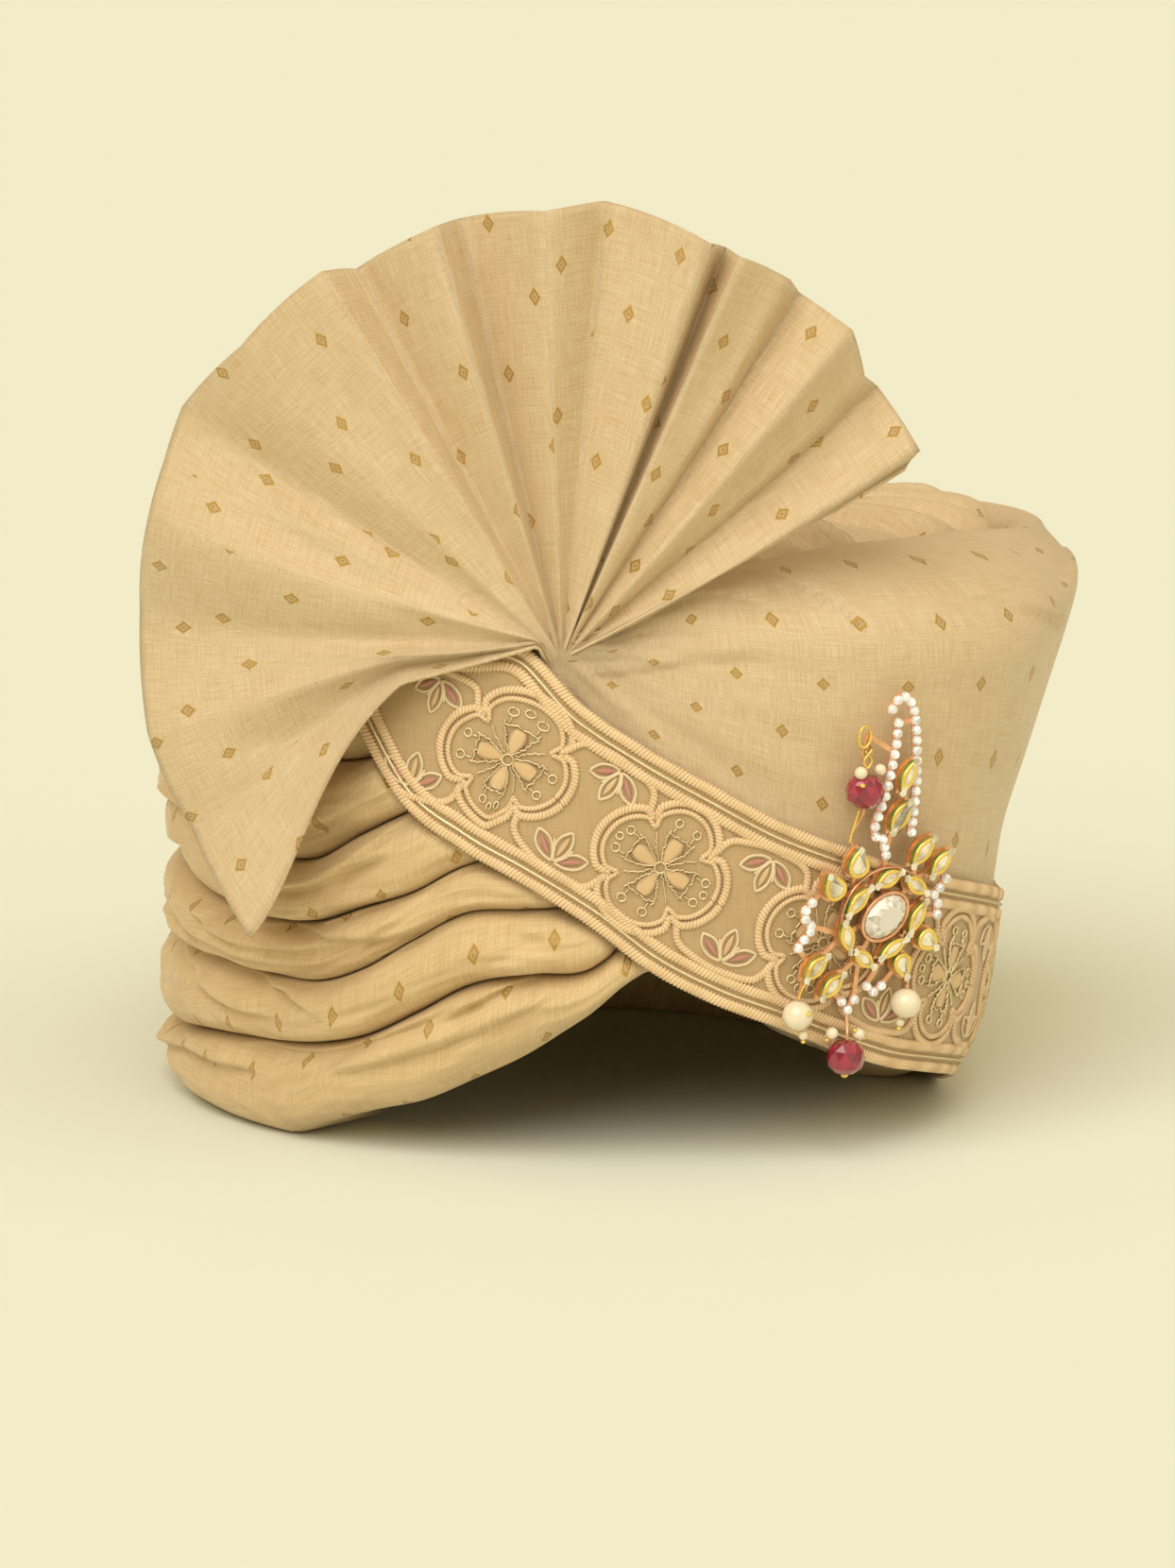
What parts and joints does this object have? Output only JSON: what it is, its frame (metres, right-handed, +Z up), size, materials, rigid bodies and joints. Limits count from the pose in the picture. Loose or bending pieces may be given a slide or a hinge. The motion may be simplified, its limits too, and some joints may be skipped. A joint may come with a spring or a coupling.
{
  "type": "tied turban with pleated fan and brooch",
  "caption": "Wound cloth turban with a pleated fan rising at the front, a smooth front panel with an embroidered border band, a gathered crown and a jewelled openwork brooch.",
  "frame": {"origin": "middle of the bounding box's bottom face: the surface that the lower rolls stand on", "axes": "+Z up through the crown, -Y the way the wearer's face looks, +X to the side that carries the brooch and the flare"},
  "size_m": [0.2904, 0.2818, 0.2937],
  "materials": {
    "cream_silk": "cream gold silk blend with a soft sheen and small woven gold motifs",
    "embroidered_border": "sheer beige ground under twisted cord and satin stitch embroidery",
    "rose_gold": "polished rose gold plating",
    "kundan_gold": "bright yellow gold cup round a flat clear stone",
    "clear_stone": "cut clear stone on foil",
    "ruby_glass": "faceted deep pink red glass",
    "pearl": "imitation pearl lustre"
  },
  "bodies": {
    "root": {"wrap_1": "cream_silk", "wrap_2": "cream_silk", "wrap_3": "cream_silk", "wrap_4": "cream_silk", "wrap_5": "cream_silk", "wrap_6": "cream_silk", "crown": "cream_silk", "front_panel": "cream_silk", "fan": "cream_silk", "border_band": "embroidered_border", "brooch_frame": "rose_gold", "centre_stone": "clear_stone", "kundan_01": "kundan_gold", "kundan_02": "kundan_gold", "kundan_03": "kundan_gold", "kundan_04": "kundan_gold", "kundan_05": "kundan_gold", "kundan_06": "kundan_gold", "kundan_07": "kundan_gold", "kundan_08": "kundan_gold", "kundan_09": "kundan_gold", "kundan_10": "kundan_gold", "kundan_11": "kundan_gold", "kundan_12": "kundan_gold", "kundan_13": "kundan_gold", "kundan_14": "kundan_gold", "kundan_15": "kundan_gold", "kundan_16": "kundan_gold", "kundan_17": "kundan_gold", "ruby_bead_top": "ruby_glass", "ruby_bead_bottom": "ruby_glass", "pearl_left": "pearl", "pearl_right": "pearl"}
  },
  "joints": []
}
